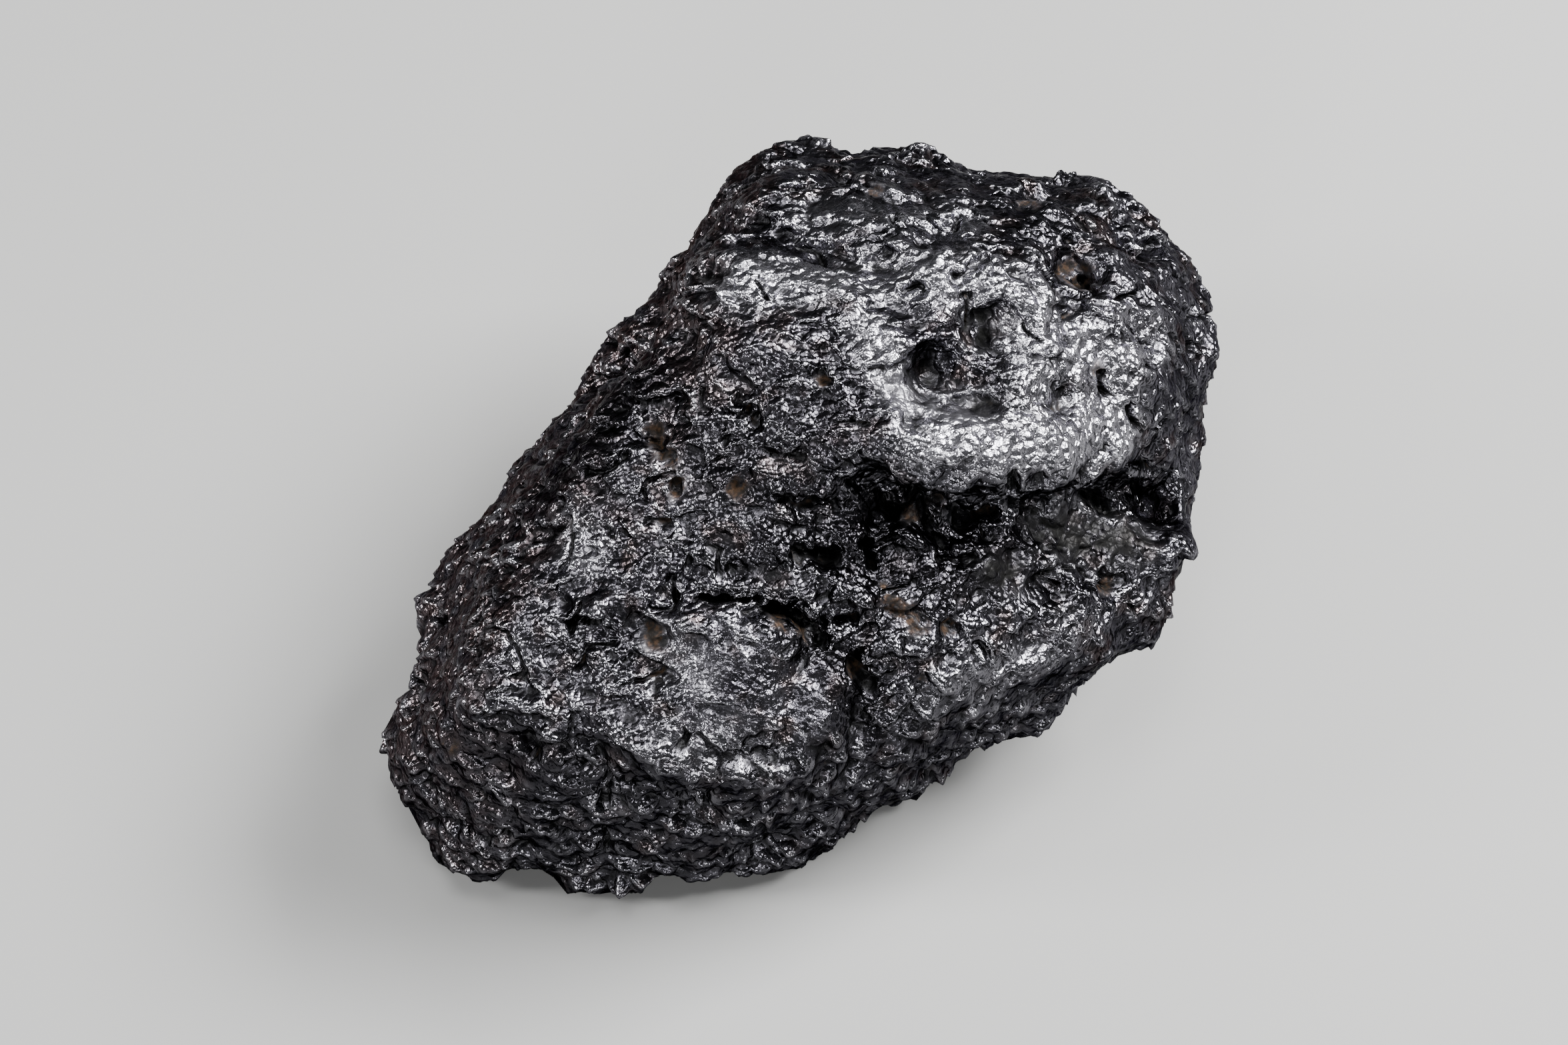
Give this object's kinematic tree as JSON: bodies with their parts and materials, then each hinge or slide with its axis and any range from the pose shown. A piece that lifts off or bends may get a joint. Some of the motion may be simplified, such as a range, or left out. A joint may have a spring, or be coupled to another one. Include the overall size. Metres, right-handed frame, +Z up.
{
  "type": "iron meteorite",
  "caption": "Solid lump of metallic iron with an overhanging brow, a deep slot, thumbprint hollows and a ragged toe, lying on its worn back.",
  "frame": {"origin": "centre of the bounding box at the level of the flat that the stone lies on", "axes": "+Z up, +X along the stone's length from its ragged toe to its crown, +Y towards the side behind the brow"},
  "size_m": [0.1398, 0.0894, 0.0776],
  "materials": {
    "iron": "natural nickel-iron, graphite dark with a wet silver glint on every bump, rust brown in the deepest pits"
  },
  "bodies": {
    "root": {"meteorite": "iron"}
  },
  "joints": []
}
